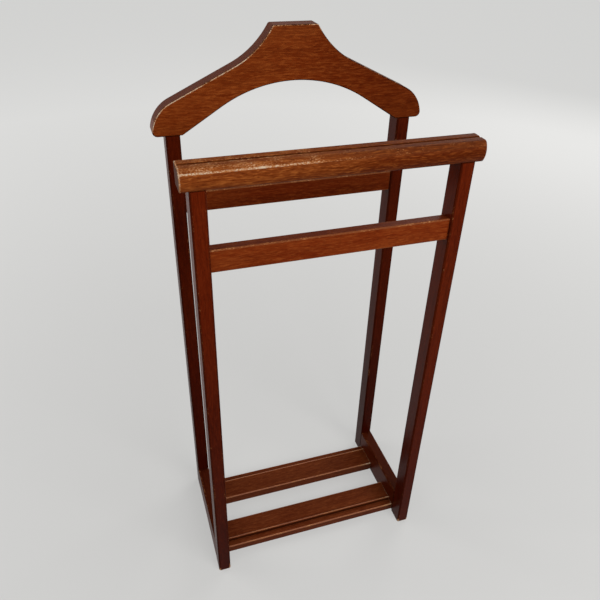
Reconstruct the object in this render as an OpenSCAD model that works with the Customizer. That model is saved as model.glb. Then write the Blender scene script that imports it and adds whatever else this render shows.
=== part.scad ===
// Free-standing wooden clothes valet: two post frames joined by low side stretchers,
// with a jacket hanger board at the back, a trouser bar at the front and two shoe slats.
// Millimetres. +Z is up, the front faces -Y, and the origin is on the floor, under the
// middle of the whole stand's bounding box.

/* [Frame] */
// Width across the outer faces of the posts
stand_w = 416; // [340:1:500]
// Depth from the front posts' front faces to the rear posts' rear faces
stand_d = 246; // [210:1:340]
// Height of all four posts
post_h = 820; // [700:1:920]
// Width of a post, across the stand
post_w = 23; // [21:1:30]
// Depth of a post, front to back
post_d = 33; // [30:1:44]
// Radius on the long edges of a post
post_edge_r = 3; // [1:0.5:5]
// Chamfer round the foot of a post
foot_chamfer = 1.5; // [0.5:0.5:4]

/* [Hanger board] */
// Overall width of the hanger board
hanger_w = 454; // [410:1:510]
// Height of the hanger board above the post tops
hanger_h = 154; // [140:1:180]
// Thickness of the hanger board
hanger_t = 30; // [24:1:31]
// Set-back of the board's front face behind the rear posts' front faces
hanger_set_back = 1.5; // [0:0.5:4]
// Width of the flat top, the collar rest
collar_w = 71; // [55:1:100]
// Radius of the hollow curve from the collar rest down to the shoulder
neck_r = 140; // [110:1:170]
// Slope of the straight shoulder, in degrees
shoulder_slope = 25.5; // [22:0.5:28]
// Radius of the rounded shoulder tip
tip_r = 56; // [45:1:65]
// Radius on the collar rest's two corners
collar_corner_r = 4; // [1:0.5:8]
// Radius on the lower corners of the shoulder tips
hanger_corner_r = 8; // [3:0.5:12]
// Height of the arch under the board, above the post tops
arch_h = 73; // [60:1:85]
// Radius of the arch's crown
arch_r = 224; // [195:1:240]
// Length of the board's flat underside beyond a post's inner face
arch_heel = 4; // [2:1:10]

/* [Trouser bar] */
// Length of the trouser bar
bar_len = 440; // [380:1:520]
// Depth of the trouser bar, front to back
bar_d = 39; // [36:1:52]
// Height of the trouser bar
bar_h = 32; // [28:1:36]
// How far the bar's rounded front stands out before the front posts
bar_proud = 4.5; // [1:0.5:6]
// Radius of the gently rounded front face
bar_nose_r = 26; // [20:1:60]
// Radius on the upper corner of the front face, where trousers fold over
bar_fold_r = 7; // [3:0.5:8]
// Radius on the lower corner of the front face
bar_corner_r = 4; // [2:0.5:8]
// Distance from the bar's front to the middle of its groove
groove_back = 22; // [18:0.5:25]
// Width of the groove in the bar's top
groove_w = 5; // [3:0.5:7]
// Depth of the groove
groove_depth = 4; // [2:0.5:5]
// Radius on the bar's rear edges
bar_rear_r = 3; // [1:0.5:4]

/* [Cross rails] */
// Height of a cross rail's section
rail_h = 36; // [30:1:50]
// Thickness of a cross rail
rail_t = 18; // [14:1:20]
// Radius on the long edges of the rails
rail_edge_r = 2; // [1:0.5:4]
// Distance from the post tops down to the front rail's top edge
front_rail_down = 90; // [40:1:250]
// Set-back of the front rail behind the front posts' front faces
front_rail_set_back = 5; // [2:0.5:9]
// Distance from the post tops down to the rear rail's top edge
rear_rail_down = 97; // [40:1:250]
// Set-back of the rear rail behind the rear posts' front faces
rear_rail_set_back = 4; // [2:0.5:9]

/* [Side stretchers] */
// Height of a side stretcher's section
stretcher_h = 60; // [54:1:90]
// Clearance under the stretchers and the shoe slats
base_lift = 2; // [1:0.5:10]
// Radius on the long edges of the stretchers
stretcher_edge_r = 3; // [1:0.5:5]

/* [Shoe slats] */
// Width of a shoe slat, front to back
slat_w = 60; // [50:1:75]
// Thickness of a shoe slat at its main face
slat_t = 21; // [18:1:22]
// Gap between a slat's outer edge and the line of the posts' inner faces
slat_set_in = 1.5; // [0.5:0.5:5]
// Distance from the slat's outer edge to the middle of its bead
bead_in = 16; // [12:1:20]
// Width of the bead, the raised moulding that keeps a heel in place
bead_w = 6; // [4:0.5:8]
// Height of the bead above the main face
bead_rise = 2; // [1:0.5:3]
// Drop of the outer ledge below the main face
ledge_drop = 4; // [2:0.5:6]
// Radius on the long edges of a slat
slat_edge_r = 2; // [1:0.5:3]

/* [Dowels] */
// Diameter of the dowels
dowel_d = 8; // [6:1:8]
// Length of the dowels
dowel_len = 35; // [30:1:40]
// Chamfer at the ends of a dowel
dowel_chamfer = 1; // [0.5:0.25:1.5]
// Glue gap round a dowel in its hole
glue_gap = 0.1; // [0.05:0.05:0.2]
// Extra depth of a hole past the end of its dowel
hole_extra = 1; // [0.5:0.5:2]
// Depth of a rail's dowel in the post
post_seat = 14; // [11:1:16]
// Depth of a slat's dowel in the stretcher
stretcher_seat = 13; // [10:1:16]
// Spacing of the two dowels in a rail's end
rail_dowel_pitch = 18; // [12:1:18]
// Spacing of the two dowels in a stretcher's end
stretcher_dowel_pitch = 20; // [14:1:22]
// Distance from a stretcher's top edge to its upper dowel
stretcher_dowel_down = 12; // [9:1:15]
// Spacing of the two dowels in a slat's end
slat_dowel_pitch = 32; // [24:1:36]

/* [Hidden] */

// Colours of the stained, lacquered hardwood and of the plain dowels
stained = [0.40, 0.15, 0.07];
stained_dark = [0.33, 0.11, 0.05];
plain_beech = [0.80, 0.64, 0.45];

// Round features are drawn with this many sides to the full turn
round_fn = 48;

// The frame's front and rear planes: the bar's nose is the foremost point of the stand
// and the rear posts' rear faces are the rearmost, and the origin lies midway.
front_face = (bar_proud - stand_d) / 2;
rear_face = front_face + stand_d;
front_post_y = front_face + post_d / 2;
rear_post_y = rear_face - post_d / 2;
rear_post_front = rear_face - post_d;
frame_mid_y = (front_face + rear_face) / 2;

// Post centres and inner faces across the stand
post_x = (stand_w - post_w) / 2;
inner_x = stand_w / 2 - post_w;

// Middle planes of the pieces that the dowels meet
hanger_y = rear_post_front + hanger_set_back + hanger_t / 2;
front_rail_y = front_face + front_rail_set_back + rail_t / 2;
rear_rail_y = rear_post_front + rear_rail_set_back + rail_t / 2;
front_rail_z = post_h - front_rail_down - rail_h / 2;
rear_rail_z = post_h - rear_rail_down - rail_h / 2;

// Stretchers run from the front posts' rear faces to the rear posts' front faces
stretcher_len = stand_d - 2 * post_d;
stretcher_top = base_lift + stretcher_h;
stretcher_dowel_zs = [
    stretcher_top - stretcher_dowel_down - stretcher_dowel_pitch,
    stretcher_top - stretcher_dowel_down
];

// Slats lie between the stretchers' inner faces, their outer edges just inside the posts
slat_y = stretcher_len / 2 - slat_set_in - slat_w / 2;
slat_dowel_z = base_lift + (slat_t - ledge_drop) / 2 + 1;

hole_d = dowel_d + 2 * glue_gap;
half_pitches = [-0.5, 0.5];

// Points of an arc about (cx, cy), from angle a0 to a1 in steps of about 4 degrees
function arc(cx, cy, r, a0, a1) =
    let (steps = max(3, ceil(abs(a1 - a0) / 4)))
    [for (i = [0 : steps]) let (a = a0 + (a1 - a0) * i / steps) [cx + r * cos(a), cy + r * sin(a)]];

// The same points mirrored to the other side, in the opposite order
function mirrored(points) = [for (i = [len(points) - 1 : -1 : 0]) [-points[i][0], points[i][1]]];

// A rectangle about the origin with true round corners
module round_rect(w, h, r) {
    square([w - 2 * r, h], center = true);
    square([w, h - 2 * r], center = true);
    for (x = [-1, 1], y = [-1, 1])
        translate([x * (w / 2 - r), y * (h / 2 - r)])
            circle(r = r, $fn = round_fn);
}

// A section drawn in the plane across X, with its first axis along +Y and its second along +Z,
// run to both sides of X = 0
module run_across(length) {
    rotate([90, 0, 90])
        linear_extrude(height = length, center = true)
            children();
}

// A plain wooden peg with chamfered ends, about the origin along +Z
module dowel() {
    r = dowel_d / 2;
    half = dowel_len / 2;
    rotate_extrude($fn = round_fn)
        polygon([
            [0, -half], [r - dowel_chamfer, -half], [r, dowel_chamfer - half],
            [r, half - dowel_chamfer], [r - dowel_chamfer, half], [0, half]
        ]);
}

// A blind hole along +Z from its mouth at the origin
module dowel_hole(seat) {
    translate([0, 0, -hole_extra])
        cylinder(h = seat + 2 * hole_extra, d = hole_d, $fn = round_fn);
}

// Children placed at the two dowels of a joint, spaced along Y or Z
module at_pitch_y(pitch) {
    for (k = half_pitches)
        translate([0, k * pitch, 0])
            children();
}

module at_pitch_z(pitch) {
    for (k = half_pitches)
        translate([0, 0, k * pitch])
            children();
}

/* Posts */

// A post on its foot, its middle at the origin in plan. inner is +1 where the stand's middle
// lies towards +X, and rearward is +1 where the stretcher leaves towards +Y.
module post(inner, rearward, top_dowel_y, rail_y, rail_z) {
    difference() {
        intersection() {
            linear_extrude(height = post_h)
                round_rect(post_w, post_d, post_edge_r);
            foot_bevel(post_w);
            rotate([0, 0, 90])
                foot_bevel(post_d);
        }
        translate([0, top_dowel_y, post_h])
            rotate([180, 0, 0])
                dowel_hole(dowel_len / 2);
        translate([inner * post_w / 2, rail_y, rail_z])
            at_pitch_z(rail_dowel_pitch)
                rotate([0, -90 * inner, 0])
                    dowel_hole(post_seat);
        for (z = stretcher_dowel_zs)
            translate([0, rearward * post_d / 2, z])
                rotate([90 * rearward, 0, 0])
                    dowel_hole(dowel_len / 2);
    }
}

// A wide slab along Y whose lower edges are bevelled, to cut the foot's chamfer
module foot_bevel(width) {
    reach = 2 * post_d;
    rotate([90, 0, 0])
        linear_extrude(height = reach, center = true)
            polygon([
                [foot_chamfer - width / 2, 0], [width / 2 - foot_chamfer, 0],
                [width / 2, foot_chamfer], [width / 2, post_h],
                [-width / 2, post_h], [-width / 2, foot_chamfer]
            ]);
}

module front_post(side) {
    color(stained_dark)
        translate([side * post_x, front_post_y, 0])
            post(-side, 1, 0, front_rail_y - front_post_y, front_rail_z);
}

module rear_post(side) {
    color(stained_dark)
        translate([side * post_x, rear_post_y, 0])
            post(-side, -1, hanger_y - rear_post_y, rear_rail_y - rear_post_y, rear_rail_z);
}

module front_left_post() { front_post(-1); }
module front_right_post() { front_post(1); }
module rear_left_post() { rear_post(-1); }
module rear_right_post() { rear_post(1); }

/* Hanger board */

// Right half of the board's top line, from the collar rest to the underside of the tip. The
// neck curve leaves the straight shoulder's line, and the two corners are true fillets.
function hanger_top_half() =
    let (
        // the lower corner's centre lies inside the tip's arc
        corner_a = asin(hanger_corner_r / (tip_r - hanger_corner_r)),
        corner_x = hanger_w / 2 - hanger_corner_r,
        tip_x = corner_x - (tip_r - hanger_corner_r) * cos(corner_a),
        tip_end = [tip_x + tip_r * sin(shoulder_slope), tip_r * cos(shoulder_slope)],
        // height of the shoulder's line over a given x
        line = function (x) tip_end[1] + (tip_end[0] - x) * tan(shoulder_slope),
        // the neck's centre lies neck_r off that line, and its arc aims at the collar's corner
        rise = hanger_h - line(collar_w / 2),
        off = rise * cos(shoulder_slope),
        sweep = acos(1 - off / neck_r),
        foot_run = neck_r * sin(sweep),
        foot_x = collar_w / 2 + foot_run * cos(shoulder_slope) - off * sin(shoulder_slope),
        neck_c = [foot_x + neck_r * sin(shoulder_slope), line(foot_x) + neck_r * cos(shoulder_slope)],
        // the collar's corner touches the flat top and the neck's arc from within the board
        collar_y = hanger_h - collar_corner_r,
        collar_a = asin((neck_c[1] - collar_y) / (neck_r + collar_corner_r)),
        collar_x = neck_c[0] - (neck_r + collar_corner_r) * cos(collar_a)
    )
    concat(
        arc(collar_x, collar_y, collar_corner_r, 90, collar_a),
        arc(neck_c[0], neck_c[1], neck_r, 180 + collar_a, 270 - shoulder_slope),
        arc(tip_x, 0, tip_r, 90 - shoulder_slope, corner_a),
        arc(corner_x, hanger_corner_r, hanger_corner_r, corner_a, -90)
    );

// Right half of the arch, from its heel inside the post to the crown. The straight leg is
// tangent to the crown's circle.
function hanger_arch_half() =
    let (
        heel = [inner_x - arch_heel, 0],
        c = [0, arch_h - arch_r],
        d = norm(heel - c),
        touch = atan2(heel[1] - c[1], heel[0] - c[0]) + acos(arch_r / d)
    )
    concat([heel], arc(c[0], c[1], arch_r, touch, 90));

module hanger_outline() {
    top = hanger_top_half();
    arch = hanger_arch_half();
    right = concat(top, arch);
    polygon(concat(right, mirrored(right)));
}

module hanger_board() {
    color(stained)
        difference() {
            translate([0, hanger_y, post_h])
                rotate([90, 0, 0])
                    linear_extrude(height = hanger_t, center = true)
                        hanger_outline();
            for (side = [-1, 1])
                translate([side * post_x, hanger_y, post_h])
                    dowel_hole(dowel_len / 2);
        }
}

/* Trouser bar */

// The moulded section: a rounded front with two rounded corners, a V groove along the top and a
// rounded rear edge. The first axis runs back from the front, the second up from the underside.
module bar_section() {
    mid = bar_h / 2;
    // the corners touch the front's arc from within
    low_a = asin((mid - bar_corner_r) / (bar_nose_r - bar_corner_r));
    low_x = bar_nose_r - (bar_nose_r - bar_corner_r) * cos(low_a);
    fold_a = asin((mid - bar_fold_r) / (bar_nose_r - bar_fold_r));
    fold_x = bar_nose_r - (bar_nose_r - bar_fold_r) * cos(fold_a);
    groove_l = groove_back - groove_w / 2;
    groove_r = groove_back + groove_w / 2;
    shoulder = groove_w / 5;
    polygon(concat(
        arc(low_x, bar_corner_r, bar_corner_r, 270, 180 + low_a),
        arc(bar_nose_r, mid, bar_nose_r, 180 + low_a, 180 - fold_a),
        arc(fold_x, bar_h - bar_fold_r, bar_fold_r, 180 - fold_a, 90),
        [
            [groove_l - shoulder, bar_h],
            [groove_l, bar_h - shoulder / 2],
            [groove_back, bar_h - groove_depth],
            [groove_r, bar_h - shoulder / 2],
            [groove_r + shoulder, bar_h]
        ],
        arc(bar_d - bar_rear_r, bar_h - bar_rear_r, bar_rear_r, 90, 0),
        arc(bar_d - bar_rear_r, bar_rear_r, bar_rear_r, 0, -90)
    ));
}

module trouser_bar() {
    color(stained)
        difference() {
            translate([0, front_face - bar_proud, post_h])
                run_across(bar_len)
                    bar_section();
            for (side = [-1, 1])
                translate([side * post_x, front_post_y, post_h])
                    dowel_hole(dowel_len / 2);
        }
}

/* Cross rails */

module cross_rail(y, z) {
    rail_len = 2 * inner_x;
    color(stained)
        difference() {
            translate([0, y, z])
                run_across(rail_len)
                    round_rect(rail_t, rail_h, rail_edge_r);
            for (side = [-1, 1])
                translate([side * inner_x, y, z])
                    at_pitch_z(rail_dowel_pitch)
                        rotate([0, -90 * side, 0])
                            dowel_hole(dowel_len - post_seat);
        }
}

module front_cross_rail() { cross_rail(front_rail_y, front_rail_z); }
module rear_cross_rail() { cross_rail(rear_rail_y, rear_rail_z); }

/* Side stretchers */

module side_stretcher(side) {
    color(stained_dark)
        difference() {
            translate([side * post_x, frame_mid_y, base_lift + stretcher_h / 2])
                rotate([90, 0, 0])
                    linear_extrude(height = stretcher_len, center = true)
                        round_rect(post_w, stretcher_h, stretcher_edge_r);
            for (dir = [-1, 1], z = stretcher_dowel_zs)
                translate([side * post_x, frame_mid_y + dir * stretcher_len / 2, z])
                    rotate([90 * dir, 0, 0])
                        dowel_hole(dowel_len / 2);
            for (dir = [-1, 1])
                translate([side * inner_x, frame_mid_y + dir * slat_y, slat_dowel_z])
                    at_pitch_y(slat_dowel_pitch)
                        rotate([0, 90 * side, 0])
                            dowel_hole(stretcher_seat);
        }
}

module left_side_stretcher() { side_stretcher(-1); }
module right_side_stretcher() { side_stretcher(1); }

/* Shoe slats */

// The slat's section, its first axis running from the middle of the slat to its outer edge:
// the main face, the round bead and the lower outer ledge
module slat_section() {
    outer = slat_w / 2;
    bead_mid = outer - bead_in;
    bead_half = bead_w / 2;
    ledge_z = slat_t - ledge_drop;
    r = slat_edge_r;
    // a low round cap: this radius gives the bead its rise over its width
    cap_r = (bead_half * bead_half + bead_rise * bead_rise) / (2 * bead_rise);
    cap_a = asin(bead_half / cap_r);
    polygon(concat(
        arc(-outer + r, r, r, 270, 180),
        arc(-outer + r, slat_t - r, r, 180, 90),
        arc(bead_mid, slat_t + bead_rise - cap_r, cap_r, 90 + cap_a, 90 - cap_a),
        [[bead_mid + bead_half, ledge_z]],
        arc(outer - r, ledge_z - r, r, 90, 0),
        arc(outer - r, r, r, 0, -90)
    ));
}

module shoe_slat(dir) {
    color(stained)
        difference() {
            translate([0, frame_mid_y + dir * slat_y, base_lift])
                run_across(2 * inner_x)
                    mirror([dir < 0 ? 1 : 0, 0])
                        slat_section();
            for (side = [-1, 1])
                translate([side * inner_x, frame_mid_y + dir * slat_y, slat_dowel_z])
                    at_pitch_y(slat_dowel_pitch)
                        rotate([0, -90 * side, 0])
                            dowel_hole(dowel_len - stretcher_seat);
        }
}

module front_shoe_slat() { shoe_slat(-1); }
module rear_shoe_slat() { shoe_slat(1); }

/* Dowels */

module hanger_dowels() {
    color(plain_beech)
        for (side = [-1, 1])
            translate([side * post_x, hanger_y, post_h])
                dowel();
}

module trouser_bar_dowels() {
    color(plain_beech)
        for (side = [-1, 1])
            translate([side * post_x, front_post_y, post_h])
                dowel();
}

// Four dowels of a rail, each post_seat deep in its post
module rail_dowels(y, z) {
    color(plain_beech)
        for (side = [-1, 1])
            translate([side * (inner_x + post_seat - dowel_len / 2), y, z])
                at_pitch_z(rail_dowel_pitch)
                    rotate([0, 90, 0])
                        dowel();
}

module front_rail_dowels() { rail_dowels(front_rail_y, front_rail_z); }
module rear_rail_dowels() { rail_dowels(rear_rail_y, rear_rail_z); }

module stretcher_dowels(side) {
    color(plain_beech)
        for (dir = [-1, 1], z = stretcher_dowel_zs)
            translate([side * post_x, frame_mid_y + dir * stretcher_len / 2, z])
                rotate([90, 0, 0])
                    dowel();
}

module left_stretcher_dowels() { stretcher_dowels(-1); }
module right_stretcher_dowels() { stretcher_dowels(1); }

// Four dowels of a slat, each stretcher_seat deep in its stretcher
module slat_dowels(dir) {
    color(plain_beech)
        for (side = [-1, 1])
            translate([
                side * (inner_x + stretcher_seat - dowel_len / 2),
                frame_mid_y + dir * slat_y,
                slat_dowel_z
            ])
                at_pitch_y(slat_dowel_pitch)
                    rotate([0, 90, 0])
                        dowel();
}

module front_slat_dowels() { slat_dowels(-1); }
module rear_slat_dowels() { slat_dowels(1); }

front_left_post();
front_right_post();
rear_left_post();
rear_right_post();
hanger_board();
trouser_bar();
front_cross_rail();
rear_cross_rail();
left_side_stretcher();
right_side_stretcher();
front_shoe_slat();
rear_shoe_slat();
hanger_dowels();
trouser_bar_dowels();
front_rail_dowels();
rear_rail_dowels();
left_stretcher_dowels();
right_stretcher_dowels();
front_slat_dowels();
rear_slat_dowels();
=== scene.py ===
from math import acos, asin, atan2, cos, pi, radians, sin, tan

import bmesh
import bpy
from mathutils import Matrix, Vector


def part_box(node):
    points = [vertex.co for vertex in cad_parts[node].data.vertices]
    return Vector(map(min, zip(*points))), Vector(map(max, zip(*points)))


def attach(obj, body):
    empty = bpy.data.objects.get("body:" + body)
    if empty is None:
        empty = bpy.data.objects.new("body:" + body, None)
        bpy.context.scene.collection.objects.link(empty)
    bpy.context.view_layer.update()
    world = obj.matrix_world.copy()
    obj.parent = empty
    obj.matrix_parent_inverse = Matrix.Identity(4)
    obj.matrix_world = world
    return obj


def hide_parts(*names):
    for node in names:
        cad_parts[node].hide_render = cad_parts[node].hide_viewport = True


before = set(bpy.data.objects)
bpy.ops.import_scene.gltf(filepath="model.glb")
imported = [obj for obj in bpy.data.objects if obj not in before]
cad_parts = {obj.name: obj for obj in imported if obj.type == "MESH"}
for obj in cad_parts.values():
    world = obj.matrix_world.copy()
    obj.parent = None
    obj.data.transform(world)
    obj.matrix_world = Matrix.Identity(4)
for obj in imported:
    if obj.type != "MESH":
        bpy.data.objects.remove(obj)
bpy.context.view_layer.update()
scene = bpy.context.scene
MM = 0.001


# ---- Camera ---------------------------------------------------------------------------------
# A camera a little to the stand's left, at chest height, looks down on it and is held
# slightly turned, so that the uprights lean and draw together towards the floor.
camera_place = Vector((-0.3048, -0.8471, 1.1463))
camera_aim = Vector((-0.0132, 0.0, 0.5424))
camera_roll = radians(1.728)

lens = bpy.data.cameras.new("camera")
lens.sensor_width = 36
lens.lens = 36.92
camera = bpy.data.objects.new("camera", lens)
scene.collection.objects.link(camera)
facing = (camera_aim - camera_place).to_track_quat("-Z", "Y").to_matrix()
camera.matrix_world = (
    Matrix.Translation(camera_place) @ (facing @ Matrix.Rotation(camera_roll, 3, "Z")).to_4x4()
)
scene.camera = camera


# ---- Posts ----------------------------------------------------------------------------------
# Four uprights planed from one section of open-pored red-brown hardwood, long edges rounded
# over and feet chamfered, then stained and lacquered. Everything else is dowelled to them.
post_round = 3 * MM
foot_chamfer = 1.5 * MM
post_top_ease = 0.4 * MM
# points nearer than this are one point, and an edge turned more than the crease stays sharp
touching = 0.01 * MM
crease = radians(35)
# how exposed an arris is that faces down
sheltered = 0.3
# how much darker a face gets that looks up, and how far up its normal then points at least
up_face_darkness = 0.4
looks_up = 0.4


def finished(name, bm):
    """A mesh object at the origin from a bmesh whose points are already in place. Rounded
    edges shade smoothly, and true creases stay crisp."""
    bmesh.ops.recalc_face_normals(bm, faces=bm.faces)
    mesh = bpy.data.meshes.new(name)
    bm.to_mesh(mesh)
    bm.free()
    piece = bpy.data.objects.new(name, mesh)
    scene.collection.objects.link(piece)
    mesh.shade_smooth()
    mesh.set_sharp_from_angle(angle=crease)
    # keeps the flats flat while their rounded edges shade smoothly into them
    weighted = piece.modifiers.new("flats stay flat", "WEIGHTED_NORMAL")
    weighted.mode = "FACE_AREA"
    weighted.weight = 100
    weighted.keep_sharp = True
    return piece


def bare_piece():
    """An empty bmesh whose faces can be marked. Arris is where finish wears first: a little is
    a sheltered one, and 1 is one that everything rubs against. The second mark is how far a
    face darkens: stain in end grain, painted shade in a groove, at a step and under a nose, and
    the darkening of faces that look up."""
    bm = bmesh.new()
    bm.faces.layers.float.new("arris")
    bm.faces.layers.float.new("hollow")
    return bm


def round_over(bm, edges, radius, segments):
    """Rounds these edges and marks the new faces as arris."""
    arris = bm.faces.layers.float["arris"]
    made = bmesh.ops.bevel(
        bm, geom=edges, offset=radius, offset_type="OFFSET", segments=segments, profile=0.5,
        affect="EDGES", material=-1, clamp_overlap=True,
    )
    for face in made["faces"]:
        face[arris] = 1.0


def age(bm):
    """Marks the arrises that face down as sheltered, since clothes and hands hardly reach them,
    and darkens the faces that look up."""
    arris = bm.faces.layers.float["arris"]
    hollow = bm.faces.layers.float["hollow"]
    bm.normal_update()
    for face in bm.faces:
        if face[arris] and face.normal.z < 0:
            face[arris] = sheltered
        elif not face[arris] and face.normal.z > looks_up:
            face[hollow] = up_face_darkness


def edges_on(bm, axis, place):
    """Edges that lie in the plane where the axis has this value."""
    return [e for e in bm.edges if all(abs(v.co[axis] - place) < touching for v in e.verts)]


def stick(node, grain, arris_r, low_end, high_end):
    """A straight stick filling a node's box: long edges rounded, each end eased by its own
    amount. One that lies flat ages on its top and underneath."""
    lo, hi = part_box(node)
    axis = "XYZ".index(grain)
    bm = bare_piece()
    bmesh.ops.create_cube(bm, size=1)
    bmesh.ops.scale(bm, vec=hi - lo, verts=bm.verts)
    bmesh.ops.translate(bm, vec=(lo + hi) / 2, verts=bm.verts)
    along = [e for e in bm.edges if abs(e.verts[0].co[axis] - e.verts[1].co[axis]) > touching]
    round_over(bm, along, arris_r, segments=5)
    for end, ease in ((lo[axis], low_end), (hi[axis], high_end)):
        round_over(bm, edges_on(bm, axis, end), ease, segments=3)
    if grain != "Z":
        age(bm)
    return finished(node + "_wood", bm)


def new_group(name, inputs, outputs):
    """An empty shader group with these sockets, and its two end nodes."""
    group = bpy.data.node_groups.new(name, "ShaderNodeTree")
    kinds = {"value": "NodeSocketFloat", "vector": "NodeSocketVector", "color": "NodeSocketColor"}
    for socket, kind in inputs.items():
        group.interface.new_socket(socket, in_out="INPUT", socket_type=kinds[kind])
    for socket, kind in outputs.items():
        group.interface.new_socket(socket, in_out="OUTPUT", socket_type=kinds[kind])
    return group, group.nodes.new("NodeGroupInput"), group.nodes.new("NodeGroupOutput")


def add(tree, kind, links=None, **settings):
    """Adds a node, sets its plain settings and fills its inputs. An input is given by name or
    number, and takes a socket or a plain value."""
    node = tree.nodes.new("ShaderNode" + kind)
    for key, value in settings.items():
        setattr(node, key, value)
    for key, value in (links or {}).items():
        if isinstance(value, bpy.types.NodeSocket):
            tree.links.new(value, node.inputs[key])
        else:
            node.inputs[key].default_value = value
    return node


def stretched_noise(tree, place, stretch, detail, distortion=0.0):
    """Noise drawn out along the grain. Stretch is how many times it varies in a metre, along
    and across the grain."""
    along, across = stretch
    scaled = add(tree, "VectorMath", {0: place, 1: (along, across, across)}, operation="MULTIPLY")
    return add(
        tree, "TexNoise", {"Vector": scaled.outputs[0], "Scale": 1.0, "Detail": detail,
                           "Roughness": 0.55, "Distortion": distortion},
    )


def between(tree, value, low, high, to_low=0.0, to_high=1.0):
    """The value remapped from low..high, clamped."""
    return add(
        tree, "MapRange", {"Value": value, "From Min": low, "From Max": high,
                           "To Min": to_low, "To Max": to_high},
    ).outputs["Result"]


def blend_color(tree, share, first, second, blend="MIX"):
    """Mixes two colours by a share, or multiplies the first by that share of the second."""
    node = tree.nodes.new("ShaderNodeMix")
    node.data_type = "RGBA"
    node.blend_type = blend
    for index, value in ((0, share), (6, first), (7, second)):
        if isinstance(value, bpy.types.NodeSocket):
            tree.links.new(value, node.inputs[index])
        else:
            node.inputs[index].default_value = value
    return node.outputs[2]


def maths(tree, operation, first, second, third=0.0):
    """One sum on values. MULTIPLY_ADD adds the third to the product of the others."""
    return add(tree, "Math", {0: first, 1: second, 2: third}, operation=operation).outputs[0]


def make_grain_group():
    """Open-pored interlocked hardwood under stain: cloudy stain, broad bands, fine streaks,
    short flecks that catch the light, and pores filled with darker stain. Its Place has the
    grain on X."""
    group, given, result = new_group(
        "stained_grain",
        {"Place": "vector", "Dark": "color", "Ground": "color", "Light": "color",
         "Bands": "value", "Flecks": "value"},
        {"Color": "color", "Roughness": "value", "Height": "value"},
    )
    place = given.outputs["Place"]
    # the grain wanders a few millimetres to each side
    drift = stretched_noise(group, place, (9, 30), 2.0).outputs["Color"]
    centred = add(group, "VectorMath", {0: drift, 1: (0.5, 0.5, 0.5)}, operation="SUBTRACT")
    sway = add(
        group, "VectorMath", {0: centred.outputs[0], 1: (0.0, 0.010, 0.010)}, operation="MULTIPLY"
    )
    wavy = add(group, "VectorMath", {0: place, 1: sway.outputs[0]}, operation="ADD").outputs[0]

    clouds = stretched_noise(group, place, (7, 19), 2.0).outputs["Fac"]
    bands = stretched_noise(group, wavy, (3, 70), 4.0).outputs["Fac"]
    streaks = stretched_noise(group, wavy, (24, 430), 3.0).outputs["Fac"]
    flecks = stretched_noise(group, wavy, (75, 520), 3.0, 0.4).outputs["Fac"]
    fibre = stretched_noise(group, wavy, (150, 2400), 1.0).outputs["Fac"]
    pore_place = add(group, "VectorMath", {0: wavy, 1: (115, 950, 950)}, operation="MULTIPLY")
    cells = add(group, "TexVoronoi", {"Vector": pore_place.outputs[0], "Scale": 1.0})
    pores = between(group, cells.outputs["Distance"], 0.12, 0.34, 1.0, 0.0)

    dark, light = given.outputs["Dark"], given.outputs["Light"]
    cloudy = between(group, clouds, 0.38, 0.66, 0.0, 0.30)
    color = blend_color(group, cloudy, given.outputs["Ground"], light)
    band_share = maths(
        group, "MULTIPLY", between(group, bands, 0.40, 0.68), given.outputs["Bands"]
    )
    color = blend_color(group, band_share, color, dark)
    color = blend_color(group, between(group, streaks, 0.48, 0.76, 0.0, 0.40), color, light)
    color = blend_color(group, between(group, streaks, 0.46, 0.26, 0.0, 0.45), color, dark)
    for share, tone in (
        (between(group, flecks, 0.51, 0.66), light),
        (between(group, flecks, 0.46, 0.30, 0.0, 0.7), dark),
    ):
        share = maths(group, "MULTIPLY", share, given.outputs["Flecks"])
        color = blend_color(group, share, color, tone)
    filled = blend_color(group, 0.72, dark, (0.0, 0.0, 0.0, 1.0))
    color = blend_color(group, maths(group, "MULTIPLY", pores, 0.45), color, filled)
    group.links.new(color, result.inputs["Color"])

    rough = between(group, streaks, 0.3, 0.7, 0.28, 0.36)
    rough = maths(group, "MULTIPLY_ADD", pores, 0.16, rough)
    group.links.new(rough, result.inputs["Roughness"])

    height = maths(group, "MULTIPLY_ADD", fibre, 0.25, maths(group, "MULTIPLY", flecks, 0.35))
    height = maths(group, "SUBTRACT", height, pores)
    group.links.new(height, result.inputs["Height"])
    return group


def make_wear_group():
    """Where lacquer and stain are rubbed through to pale wood on an arris: long rubbed
    stretches broken up by fine speckles, Bare where it is through and Thin where the stain is
    only worn thin. A Reach of 0 leaves the finish nearly whole, 1 rubs half of an exposed
    arris bare, and a sheltered arris stays whole."""
    group, given, result = new_group(
        "rubbed_arris", {"Place": "vector", "Arris": "value", "Reach": "value"},
        {"Bare": "value", "Thin": "value", "On Arris": "value"},
    )
    place, arris = given.outputs["Place"], given.outputs["Arris"]
    stretches = stretched_noise(group, place, (30, 80), 2.0).outputs["Fac"]
    speckles = stretched_noise(group, place, (380, 800), 2.0).outputs["Fac"]
    rubbed = maths(group, "MULTIPLY_ADD", stretches, 0.4, maths(group, "MULTIPLY", speckles, 0.6))
    share = maths(group, "MULTIPLY", given.outputs["Reach"], arris)
    rubbed = maths(group, "MULTIPLY_ADD", share, 0.3, rubbed)
    exposed = between(group, arris, sheltered, sheltered + 0.1)
    for socket, starts, full in (("Bare", 0.75, 0.86), ("Thin", 0.64, 0.76)):
        worn = between(group, rubbed, starts, full)
        group.links.new(maths(group, "MULTIPLY", worn, exposed), result.inputs[socket])
    on_arris = between(group, arris, 0.0, 0.05)
    group.links.new(on_arris, result.inputs["On Arris"])
    return group


grain_group = make_grain_group()
wear_group = make_wear_group()

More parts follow.
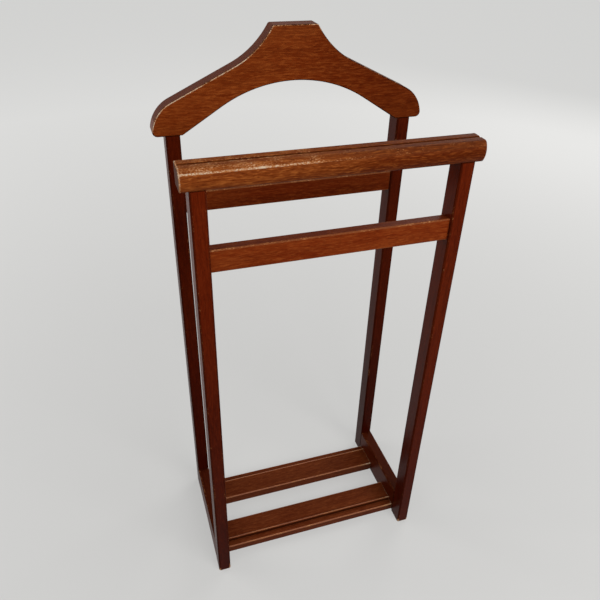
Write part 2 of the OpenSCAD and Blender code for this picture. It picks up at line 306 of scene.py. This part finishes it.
# turns that lay a piece's grain on the pattern's X
grain_turn = {"X": (0, 0, 0), "Y": (0, 0, -pi / 2), "Z": (0, pi / 2, 0)}
grain_relief = 0.12 * MM
rubbed_wood = (0.50, 0.38, 0.27, 1)
thinned_stain = (0.36, 0.150, 0.055, 1)
# near-black: stain gathered in end grain and on edges, with painted shade on the edges too,
# painted shade in the groove, at the slat's step and under the nose, and the darker faces that
# look up
shade_and_stain_tone = (0.012, 0.0018, 0.0006, 1)
# what painted shade multiplies the colour by
shade_tone = (0.46, 0.33, 0.30, 1)
# light off the lacquer's face is faint, and warmed by the stain under it
lacquer_shine = 0.05
lacquer_tint = (1.0, 0.50, 0.22, 1)
# how much rougher the lacquer is where it is rubbed or dirty
scuffing = 0.35


def grain_place(tree, grain):
    """The point in the piece's own frame, turned so that the grain runs on X."""
    place = add(tree, "TexCoord").outputs["Object"]
    turned = add(tree, "Mapping", {"Vector": place, "Rotation": grain_turn[grain]})
    return turned.outputs["Vector"]


def wood_figure(tree, place, dark, ground, light, bands, flecks):
    """Places the grain in a material, in the wood's own three tones."""
    return add(
        tree, "Group", {"Place": place, "Dark": (*dark, 1), "Ground": (*ground, 1),
                        "Light": (*light, 1), "Bands": bands, "Flecks": flecks},
        node_tree=grain_group,
    ).outputs


def lacquered_wood(name, grain, dark, ground, light, flecks, edge, bands=0.5,
                   edge_tone=shade_and_stain_tone, reach=0.3, rubs=(), painted_shade=(), dull=0.0):
    """Stained hardwood under satin lacquer. Edge is how far an arris takes the edge's tone, and
    reach how far it is rubbed everywhere. Each rub adds to the reach between two places along
    an axis: (axis, where it starts, where it is full, how much). A second list, given in the same
    way, paints shade in by darkening the colour there, and dull is how much rougher use has made
    it all over."""
    material = bpy.data.materials.new(name)
    material.use_nodes = True
    tree = material.node_tree
    surface = tree.nodes["Principled BSDF"]
    surface.inputs["Specular IOR Level"].default_value = lacquer_shine
    surface.inputs["Specular Tint"].default_value = lacquer_tint
    place = grain_place(tree, grain)
    figure = wood_figure(tree, place, dark, ground, light, bands, flecks)

    own_place = add(tree, "SeparateXYZ", {0: add(tree, "TexCoord").outputs["Object"]}).outputs
    for axis, start, full, amount in rubs:
        here = between(tree, own_place[axis], start, full, 0.0, amount)
        reach = maths(tree, "ADD", here, reach)
    arris = add(tree, "Attribute", attribute_name="arris").outputs["Fac"]
    wear = add(
        tree, "Group", {"Place": place, "Arris": arris, "Reach": reach}, node_tree=wear_group
    ).outputs

    color = figure["Color"]
    # painted shade: the colour darkens between two places along an axis
    for axis, start, full, amount in painted_shade:
        here = between(tree, own_place[axis], start, full, 0.0, amount)
        color = blend_color(tree, here, color, shade_tone, "MULTIPLY")
    # the marked faces darken (end-grain stain, painted shade, darker tops), arrises take their
    # edge tone (a painted highlight on the slats), then the wear shows
    hollow = add(tree, "Attribute", attribute_name="hollow").outputs["Fac"]
    for share, tone in (
        (hollow, shade_and_stain_tone),
        (maths(tree, "MULTIPLY", wear["On Arris"], edge), edge_tone),
        (wear["Thin"], thinned_stain),
        (wear["Bare"], rubbed_wood),
    ):
        color = blend_color(tree, share, color, tone)
    tree.links.new(color, surface.inputs["Base Color"])
    scuffed = maths(tree, "MAXIMUM", wear["On Arris"], hollow)
    rough = maths(tree, "MULTIPLY_ADD", scuffed, scuffing, figure["Roughness"])
    rough = maths(tree, "ADD", rough, dull)
    tree.links.new(rough, surface.inputs["Roughness"])
    relief = add(tree, "Bump", {"Height": figure["Height"], "Strength": 0.5,
                                "Distance": grain_relief})
    tree.links.new(relief.outputs["Normal"], surface.inputs["Normal"])
    return material


# the posts darken towards the floor and on the rear pair as painted shade
post_wood = lacquered_wood(
    "post_wood", "Z", dark=(0.032, 0.0024, 0.0004), ground=(0.082, 0.0070, 0.0010),
    light=(0.125, 0.016, 0.0030), bands=0.45, flecks=0.4, edge=0.4, reach=0.12,
    rubs=[("Z", 0.012, 0.002, 1.0)],
    painted_shade=[("Z", 0.65, 0.05, 0.85), ("Y", -0.02, 0.08, 0.55)],
)

for node in ("front_left_post", "front_right_post", "rear_left_post", "rear_right_post"):
    post = stick(node, "Z", post_round, foot_chamfer, post_top_ease)
    post.data.materials.append(post_wood)
    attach(post, "root")
    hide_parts(node)


# ---- Side stretchers --------------------------------------------------------------------------
# Deep boards at floor level that join each front post to the rear one, held by two dowels at
# each end. They stand just clear of the floor and carry the shoe slats between them.
stretcher_round = 3 * MM
butt_ease = 0.3 * MM

stretcher_wood = lacquered_wood(
    "stretcher_wood", "Y", dark=(0.026, 0.0022, 0.0004), ground=(0.052, 0.0055, 0.0009),
    light=(0.095, 0.015, 0.0035), flecks=0.4, edge=0.3, dull=0.04,
)

for node in ("left_side_stretcher", "right_side_stretcher"):
    stretcher = stick(node, "Y", stretcher_round, butt_ease, butt_ease)
    stretcher.data.materials.append(stretcher_wood)
    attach(stretcher, "root")
    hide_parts(node)


# ---- Shoe slats -------------------------------------------------------------------------------
# Two moulded boards run between the stretchers. A low round bead keeps a heel in place, and a
# ledge lies outside it. Shoes have rubbed their lacquer dull.
slat_round = 2 * MM
slat_end_ease = 0.5 * MM
bead_in = 16 * MM
bead_w = 6 * MM
bead_rise = 2 * MM
ledge_drop = 4 * MM
# how dark the painted shade is on the step down to the ledge
step_shade = 0.8
# the turn from one point to the next on the slat's rounds and on its bead
slat_turn = radians(22)
bead_turn = radians(12)


def outline_point(bm, chain, co):
    """Draws the outline on to a point, with a straight edge."""
    made = bmesh.ops.extrude_vert_indiv(bm, verts=[chain])
    vert = made["verts"][0]
    vert.co = co
    return vert


def outline_arc(bm, chain, centre, axis, sweep, turn):
    """Draws the outline on round a centre, with a point at about every turn. A positive sweep
    goes right-handed about the axis."""
    steps = max(3, round(abs(sweep) / turn))
    made = bmesh.ops.spin(
        bm, geom=[chain], cent=centre, axis=axis, angle=sweep, steps=steps, use_duplicate=False
    )
    return next(item for item in made["geom_last"] if isinstance(item, bmesh.types.BMVert))


def closed_outline(bm):
    """Joins the outline's ends and fills it with one face."""
    bmesh.ops.remove_doubles(bm, verts=bm.verts, dist=touching)
    return bmesh.ops.edgeloop_fill(bm, edges=bm.edges)["faces"][0]


def pushed_out(bm, face, run):
    """Extrudes a lone face into a solid."""
    made = bmesh.ops.extrude_face_region(bm, geom=[face])
    moved = [item for item in made["geom"] if isinstance(item, bmesh.types.BMVert)]
    bmesh.ops.translate(bm, vec=run, verts=moved)


def slat(node, outward):
    """One slat. Outward is -1 where its ledge lies towards the front, +1 towards the back."""
    lo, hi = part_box(node)
    main_z = hi.z - bead_rise
    ledge_z = main_z - ledge_drop
    outer, inner = (lo.y, hi.y) if outward < 0 else (hi.y, lo.y)
    bead_y = outer - outward * bead_in
    half = bead_w / 2
    cap_r = (half * half + bead_rise * bead_rise) / (2 * bead_rise)
    cap_a = 2 * asin(half / cap_r)
    r = slat_round
    x = lo.x
    inner_r, outer_r = inner + outward * r, outer - outward * r
    axis = Vector((-outward, 0, 0))
    bm = bare_piece()
    chain = bm.verts.new((x, inner_r, lo.z))
    chain = outline_arc(bm, chain, (x, inner_r, lo.z + r), axis, pi / 2, slat_turn)
    chain = outline_point(bm, chain, (x, inner, main_z - r))
    chain = outline_arc(bm, chain, (x, inner_r, main_z - r), axis, pi / 2, slat_turn)
    chain = outline_point(bm, chain, (x, bead_y - outward * half, main_z))
    chain = outline_arc(bm, chain, (x, bead_y, hi.z - cap_r), axis, cap_a, bead_turn)
    chain = outline_point(bm, chain, (x, bead_y + outward * half, ledge_z))
    chain = outline_point(bm, chain, (x, outer_r, ledge_z))
    chain = outline_arc(bm, chain, (x, outer_r, ledge_z - r), axis, pi / 2, slat_turn)
    chain = outline_point(bm, chain, (x, outer, lo.z + r))
    chain = outline_arc(bm, chain, (x, outer_r, lo.z + r), axis, pi / 2, slat_turn)
    outline_point(bm, chain, (x, inner_r, lo.z))
    pushed_out(bm, closed_outline(bm), (hi.x - lo.x, 0, 0))
    # the bead's crown and the two rounded top edges take the wear and a painted highlight, and
    # the step down to the ledge gets painted shade: each is found by where the face's middle lies
    arris = bm.faces.layers.float["arris"]
    hollow = bm.faces.layers.float["hollow"]
    for face in bm.faces:
        at = face.calc_center_median()
        crown = at.z > main_z + bead_rise * 0.88
        inner_edge = abs(at.y - inner) < r * 0.9 and at.z > main_z - r * 0.9
        ledge_edge = abs(at.y - outer) < r * 0.9 and at.z > ledge_z - r * 0.9
        step_down = abs(at.y - bead_y - outward * half) < half * 0.25 and at.z > ledge_z
        if crown or inner_edge or ledge_edge:
            face[arris] = 1.0
        elif step_down:
            face[hollow] = step_shade
    round_over(bm, edges_on(bm, 0, lo.x) + edges_on(bm, 0, hi.x), slat_end_ease, segments=2)
    return finished(node + "_wood", bm)


# the pale edge tone on the bead's crown and the rounded top edges is a painted highlight
slat_wood = lacquered_wood(
    "slat_wood", "X", dark=(0.050, 0.0066, 0.0016), ground=(0.086, 0.0150, 0.0038),
    light=(0.150, 0.038, 0.0115), flecks=0.6, edge=0.6, edge_tone=(0.34, 0.14, 0.08, 1),
    reach=0.45, rubs=[("X", 0.150, 0.185, 0.6)], dull=0.04,
)

for node, outward in (("front_shoe_slat", -1), ("rear_shoe_slat", 1)):
    board = slat(node, outward)
    board.data.materials.append(slat_wood)
    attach(board, "root")
    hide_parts(node)


# ---- Cross rails ------------------------------------------------------------------------------
# Two flat rails hold the posts of each frame apart near the top, with two dowels in each end.
# Belts and ties hang over them.
rail_round = 2 * MM

# the rear rail is darker than the front one as painted shade under the bar
rail_wood = lacquered_wood(
    "rail_wood", "X", dark=(0.072, 0.0066, 0.0010), ground=(0.145, 0.0185, 0.0027),
    light=(0.235, 0.052, 0.0105), flecks=0.6, edge=0.45, edge_tone=(0.20, 0.075, 0.030, 1),
    reach=0.40, painted_shade=[("Y", 0.00, 0.10, 0.50)],
)

for node in ("front_cross_rail", "rear_cross_rail"):
    rail = stick(node, "X", rail_round, butt_ease, butt_ease)
    rail.data.materials.append(rail_wood)
    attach(rail, "root")
    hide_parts(node)


# ---- Trouser bar ------------------------------------------------------------------------------
# A moulded bar stands on the front posts' tops on two dowels, wider than the stand: a round
# nose, an upper corner that trousers fold over, and a V groove between two flat-topped lobes.
nose_r = 26 * MM
bar_fold_r = 7 * MM
bar_corner_r = 4 * MM
groove_back = 22 * MM
groove_w = 5 * MM
groove_depth = 4 * MM
bar_rear_r = 3 * MM
bar_end_r = 2 * MM
groove_lip = 1 * MM
# the rubbed line lies this far below the top, and the fold over it and the lobes' flat tops
# are rubbed less
rub_line_low = 7.6 * MM
rub_line_high = 5.4 * MM
lobe_skin = 0.35 * MM
fold_rub = 0.58
lobe_rub = 0.48
# how much shade is painted into the groove and under the nose, and how much stain stays in the
# end grain
groove_shade = 0.6
under_nose_shade = 0.4
end_stain = 0.7
bar_end_rings = 4


def rounded_end(bm, cap, outward, centre, radius):
    """Rounds a stick's end over, whatever its section: the cap goes out and shrinks in rings
    that follow a quarter circle. Its end grain drinks more stain."""
    half = max((v.co - centre).length for v in cap.verts)
    done_out, done_in = 0.0, 0.0
    arris = bm.faces.layers.float["arris"]
    for ring in range(1, bar_end_rings + 1):
        angle = pi / 2 * ring / bar_end_rings
        out, inset = radius * sin(angle), radius * (1 - cos(angle))
        made = bmesh.ops.extrude_discrete_faces(bm, faces=[cap])
        cap = made["faces"][0]
        factor = (half - inset) / (half - done_in)
        to_centre = Matrix.Translation(-centre)
        bmesh.ops.scale(bm, vec=(1, factor, factor), space=to_centre, verts=cap.verts)
        bmesh.ops.translate(bm, vec=(outward * (out - done_out), 0, 0), verts=cap.verts)
        for edge in cap.edges:
            for face in edge.link_faces:
                if face != cap:
                    face[arris] = 1.0
        done_out, done_in = out, inset
    cap[bm.faces.layers.float["hollow"]] = end_stain


def moulded_bar():
    """The bar's section, drawn from its lower front corner up and over to the back, and pushed
    out to its length."""
    lo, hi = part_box("trouser_bar")
    x0, x1 = lo.x + bar_end_r, hi.x - bar_end_r
    mid_z = (lo.z + hi.z) / 2

    def corner(radius):
        """A front corner that touches the nose's arc from within: the nose's sweep up to it,
        and the corner's centre."""
        within = nose_r - radius
        sweep = asin(((hi.z - lo.z) / 2 - radius) / within)
        return sweep, lo.y + nose_r - within * cos(sweep)

    low_a, low_y = corner(bar_corner_r)
    fold_a, fold_y = corner(bar_fold_r)
    groove_y = lo.y + groove_back
    half_groove = groove_w / 2
    r = bar_rear_r
    toward_back = Vector((-1, 0, 0))
    bm = bare_piece()
    chain = bm.verts.new((x0, low_y, lo.z))
    start = tuple(chain.co)
    chain = outline_arc(bm, chain, (x0, low_y, lo.z + bar_corner_r), toward_back,
                        pi / 2 - low_a, radians(8))
    chain = outline_arc(bm, chain, (x0, lo.y + nose_r, mid_z), toward_back, low_a + fold_a,
                        radians(2))
    chain = outline_arc(bm, chain, (x0, fold_y, hi.z - bar_fold_r), toward_back,
                        pi / 2 - fold_a, radians(6))
    for y, z in (
        (groove_y - half_groove - groove_lip, hi.z),
        (groove_y - half_groove, hi.z - groove_lip / 2),
        (groove_y, hi.z - groove_depth),
        (groove_y + half_groove, hi.z - groove_lip / 2),
        (groove_y + half_groove + groove_lip, hi.z),
        (hi.y - r, hi.z),
    ):
        chain = outline_point(bm, chain, (x0, y, z))
    chain = outline_arc(bm, chain, (x0, hi.y - r, hi.z - r), toward_back, pi / 2, radians(15))
    chain = outline_point(bm, chain, (x0, hi.y, lo.z + r))
    chain = outline_arc(bm, chain, (x0, hi.y - r, lo.z + r), toward_back, pi / 2, radians(15))
    outline_point(bm, chain, start)
    pushed_out(bm, closed_outline(bm), (x1 - x0, 0, 0))
    # trousers rub a line along the nose under the corner they fold over, and speckle the corner
    # and the lobe above it, while the groove and the lower corner are darkened as painted shade
    arris = bm.faces.layers.float["arris"]
    hollow = bm.faces.layers.float["hollow"]
    for face in bm.faces:
        at = face.calc_center_median()
        below_top = hi.z - at.z
        if abs(at.y - groove_y) < half_groove and at.z > mid_z:
            face[hollow] = groove_shade
        elif at.y < fold_y and rub_line_high < below_top < rub_line_low:
            face[arris] = 1.0
        elif at.y < fold_y and below_top < rub_line_high:
            face[arris] = fold_rub
        elif below_top < lobe_skin:
            face[arris] = lobe_rub
        elif at.z < lo.z + bar_corner_r / 2 and at.y < low_y:
            face[hollow] = under_nose_shade
    for x, outward in ((x0, -1), (x1, 1)):
        cap = next(f for f in bm.faces if all(abs(v.co.x - x) < touching for v in f.verts))
        rounded_end(bm, cap, outward, Vector((x, (lo.y + hi.y) / 2, mid_z)), bar_end_r)
    return finished("trouser_bar_wood", bm)


# the bar darkens towards its right end as painted shade, and is rubbed more towards its left
bar_wood = lacquered_wood(
    "bar_wood", "X", dark=(0.062, 0.0066, 0.0010), ground=(0.140, 0.0230, 0.0032),
    light=(0.290, 0.0820, 0.0160), bands=0.45, flecks=0.90, edge=0.06,
    edge_tone=(0.33, 0.15, 0.055, 1), reach=0.20, rubs=[("X", 0.080, -0.110, 0.76)],
    painted_shade=[("X", -0.10, 0.16, 0.85)],
)

bar = moulded_bar()
bar.data.materials.append(bar_wood)
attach(bar, "root")
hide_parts("trouser_bar")


# ---- Hanger board -----------------------------------------------------------------------------
# One wide board sawn to the shape of a jacket's shoulders, its edge sanded square with the
# arrises just rubbed off. It stands on the rear posts' tops on two dowels.
collar_half = 35.5 * MM
collar_corner = 4 * MM
neck_r = 140 * MM
shoulder_slope = radians(25.5)
tip_r = 56 * MM
tip_corner = 8 * MM
arch_h = 73 * MM
arch_r = 224 * MM
arch_heel = 4 * MM
board_arris = 1.4 * MM
# an arris face whose normal has less than this towards the front or back isn't rubbed and gets no
# pale line
faces_out = 0.5


def hanger_board():
    """Half the board's outline, drawn from the collar's middle over the shoulder to the tip and
    back under the arch, then mirrored and pushed out to its thickness."""
    lo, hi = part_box("hanger_board")
    inner_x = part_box("rear_right_post")[0].x
    y = lo.y

    def at(x, z):
        return Vector((x, y, lo.z + z))

    height = hi.z - lo.z
    corner_a = asin(tip_corner / (tip_r - tip_corner))
    corner_x = hi.x - tip_corner
    tip_x = corner_x - (tip_r - tip_corner) * cos(corner_a)
    tip_end = (tip_x + tip_r * sin(shoulder_slope), tip_r * cos(shoulder_slope))

    def shoulder_line(x):
        return tip_end[1] + (tip_end[0] - x) * tan(shoulder_slope)

    off = (height - shoulder_line(collar_half)) * cos(shoulder_slope)
    sweep = acos(1 - off / neck_r)
    foot_x = collar_half + neck_r * sin(sweep) * cos(shoulder_slope) - off * sin(shoulder_slope)
    neck_x = foot_x + neck_r * sin(shoulder_slope)
    neck_z = shoulder_line(foot_x) + neck_r * cos(shoulder_slope)
    collar_z = height - collar_corner
    collar_a = asin((neck_z - collar_z) / (neck_r + collar_corner))
    collar_x = neck_x - (neck_r + collar_corner) * cos(collar_a)
    heel_x = inner_x - arch_heel
    arch_z = arch_h - arch_r
    heel_off = Vector((heel_x, -arch_z)).length
    touch = atan2(-arch_z, heel_x) + acos(arch_r / heel_off)

    towards_viewer = Vector((0, -1, 0))
    bm = bare_piece()
    chain = bm.verts.new(at(0, height))
    chain = outline_point(bm, chain, at(collar_x, height))
    chain = outline_arc(bm, chain, at(collar_x, collar_z), towards_viewer,
                        collar_a - pi / 2, radians(14))
    chain = outline_arc(bm, chain, at(neck_x, neck_z), towards_viewer,
                        pi / 2 - shoulder_slope - collar_a, radians(2))
    chain = outline_point(bm, chain, at(*tip_end))
    chain = outline_arc(bm, chain, at(tip_x, 0), towards_viewer,
                        corner_a + shoulder_slope - pi / 2, radians(3))
    chain = outline_arc(bm, chain, at(corner_x, tip_corner), towards_viewer,
                        -pi / 2 - corner_a, radians(12))
    chain = outline_point(bm, chain, at(heel_x, 0))
    chain = outline_point(bm, chain, at(arch_r * cos(touch), arch_z + arch_r * sin(touch)))
    outline_arc(bm, chain, at(0, arch_z), towards_viewer, pi / 2 - touch, radians(2))
    bmesh.ops.mirror(bm, geom=bm.verts[:] + bm.edges[:], axis="X", merge_dist=touching)
    pushed_out(bm, closed_outline(bm), (0, hi.y - lo.y, 0))
    round_over(bm, edges_on(bm, 1, lo.y) + edges_on(bm, 1, hi.y), board_arris, segments=3)
    age(bm)
    # the rubbed line, partly wear and partly a painted highlight, keeps to the side of the arris
    # that looks forward or back
    arris = bm.faces.layers.float["arris"]
    for face in bm.faces:
        if face[arris] and abs(face.normal.y) < faces_out:
            face[arris] = sheltered
    return finished("hanger_board_wood", bm)


# the pale line along the front arrises, rubbed more on the left and near the top, is partly wear
# and partly a painted highlight; the dark arris tone is partly stain and partly painted shade,
# and the board darkens towards its right as painted shade
hanger_wood = lacquered_wood(
    "hanger_wood", "X", dark=(0.060, 0.0055, 0.0008), ground=(0.134, 0.0190, 0.0024),
    light=(0.245, 0.0580, 0.0105), bands=0.35, flecks=0.6, edge=0.85, reach=0.40,
    rubs=[("X", 0.000, -0.090, 0.60), ("Z", 0.960, 0.970, 0.30)],
    painted_shade=[("X", 0.00, 0.16, 0.65)],
)

hanger = hanger_board()
hanger.data.materials.append(hanger_wood)
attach(hanger, "root")
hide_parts("hanger_board")


# ---- Dowels -----------------------------------------------------------------------------------
# Plain turned pegs of pale beech, unstained and without lacquer. They are glued into every
# joint and hidden once the stand is together.
bare_roughness = 0.25
dowel_relief = 0.10 * MM


def beech(grain):
    """Bare beech, rougher than lacquered wood."""
    material = bpy.data.materials.new("beech_along_" + grain)
    material.use_nodes = True
    tree = material.node_tree
    surface = tree.nodes["Principled BSDF"]
    figure = wood_figure(
        tree, grain_place(tree, grain), dark=(0.42, 0.26, 0.14), ground=(0.60, 0.42, 0.25),
        light=(0.70, 0.53, 0.34), bands=0.3, flecks=0.4,
    )
    tree.links.new(figure["Color"], surface.inputs["Base Color"])
    rough = maths(tree, "ADD", figure["Roughness"], bare_roughness)
    tree.links.new(rough, surface.inputs["Roughness"])
    relief = add(tree, "Bump", {"Height": figure["Height"], "Strength": 0.4,
                                "Distance": dowel_relief})
    tree.links.new(relief.outputs["Normal"], surface.inputs["Normal"])
    return material


dowel_grain = {
    "hanger_dowels": "Z", "trouser_bar_dowels": "Z",
    "front_rail_dowels": "X", "rear_rail_dowels": "X",
    "left_stretcher_dowels": "Y", "right_stretcher_dowels": "Y",
    "front_slat_dowels": "X", "rear_slat_dowels": "X",
}
beech_wood = {grain: beech(grain) for grain in ("X", "Y", "Z")}
for node, grain in dowel_grain.items():
    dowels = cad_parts[node]
    dowels.data.materials.clear()
    dowels.data.materials.append(beech_wood[grain])


# ---- Floor and light --------------------------------------------------------------------------
# A plain pale studio floor runs past the whole picture. A soft lamp stands before the stand, to
# its right and above it, a faint one fills from the left, two broad ones light its back from
# both sides, and the room gives the rest.
floor_reach = 12.0
floor_color = (0.22, 0.22, 0.22, 1)
# the floor's glow this far from the stand's middle
near_floor, far_floor = 0.4, 3.0
near_glow, far_glow = 0.60, 0.89
room_light = 0.32
pale_wall = (0.67, 0.67, 0.66, 1)
lamp_white = (1.0, 0.985, 0.96)


def seen_directly(tree):
    """1 for what the camera sees, also in a gloss or through glass, and 0 for other light."""
    ray = add(tree, "LightPath").outputs
    seen = maths(tree, "MAXIMUM", ray["Is Camera Ray"], ray["Is Glossy Ray"])
    return maths(tree, "MAXIMUM", seen, ray["Is Transmission Ray"])


bm = bmesh.new()
bmesh.ops.create_grid(bm, x_segments=1, y_segments=1, size=floor_reach)
floor_mesh = bpy.data.meshes.new("floor")
bm.to_mesh(floor_mesh)
bm.free()
floor = bpy.data.objects.new("floor", floor_mesh)
scene.collection.objects.link(floor)
floor_paint = bpy.data.materials.new("floor_paint")
floor_paint.use_nodes = True
floor_tree = floor_paint.node_tree
floor_surface = floor_tree.nodes["Principled BSDF"]
floor_surface.inputs["Base Color"].default_value = floor_color
floor_surface.inputs["Roughness"].default_value = 0.8
floor_surface.inputs["Specular IOR Level"].default_value = 0.0
# where the floor is seen directly, the glow makes it pale, also where the lamps don't reach
out_there = add(
    floor_tree, "VectorMath", {0: add(floor_tree, "TexCoord").outputs["Object"]},
    operation="LENGTH",
).outputs["Value"]
glow = between(floor_tree, out_there, near_floor, far_floor, near_glow, far_glow)
glow = maths(floor_tree, "MULTIPLY", seen_directly(floor_tree), glow)
floor_surface.inputs["Emission Color"].default_value = pale_wall
floor_tree.links.new(glow, floor_surface.inputs["Emission Strength"])
floor_mesh.materials.append(floor_paint)

for name, place, aim, size, power in (
    ("key_lamp", (0.45, -1.65, 1.55), (0.0, 0.0, 0.60), 1.6, 40),
    ("fill_lamp", (-1.7, -1.3, 1.5), (0.0, 0.0, 0.6), 1.2, 6),
    ("right_back_lamp", (2.5, 1.8, 1.9), (0.0, 0.0, 0.5), 1.8, 46),
    ("left_back_lamp", (-2.5, 1.5, 1.9), (0.0, 0.0, 0.5), 1.8, 38),
):
    lamp = bpy.data.lights.new(name, "AREA")
    lamp.shape = "SQUARE"
    lamp.size = size
    lamp.energy = power
    lamp.color = lamp_white
    holder = bpy.data.objects.new(name, lamp)
    scene.collection.objects.link(holder)
    toward = (Vector(aim) - Vector(place)).to_track_quat("-Z", "Y").to_matrix().to_4x4()
    holder.matrix_world = Matrix.Translation(Vector(place)) @ toward

room = bpy.data.worlds.new("room")
scene.world = room
room.use_nodes = True
room_tree = room.node_tree
room_tree.nodes["Background"].inputs["Color"].default_value = pale_wall
strength = between(room_tree, seen_directly(room_tree), 0.0, 1.0, room_light, 1.0)
room_tree.links.new(strength, room_tree.nodes["Background"].inputs["Strength"])
scene.view_settings.view_transform = "Standard"
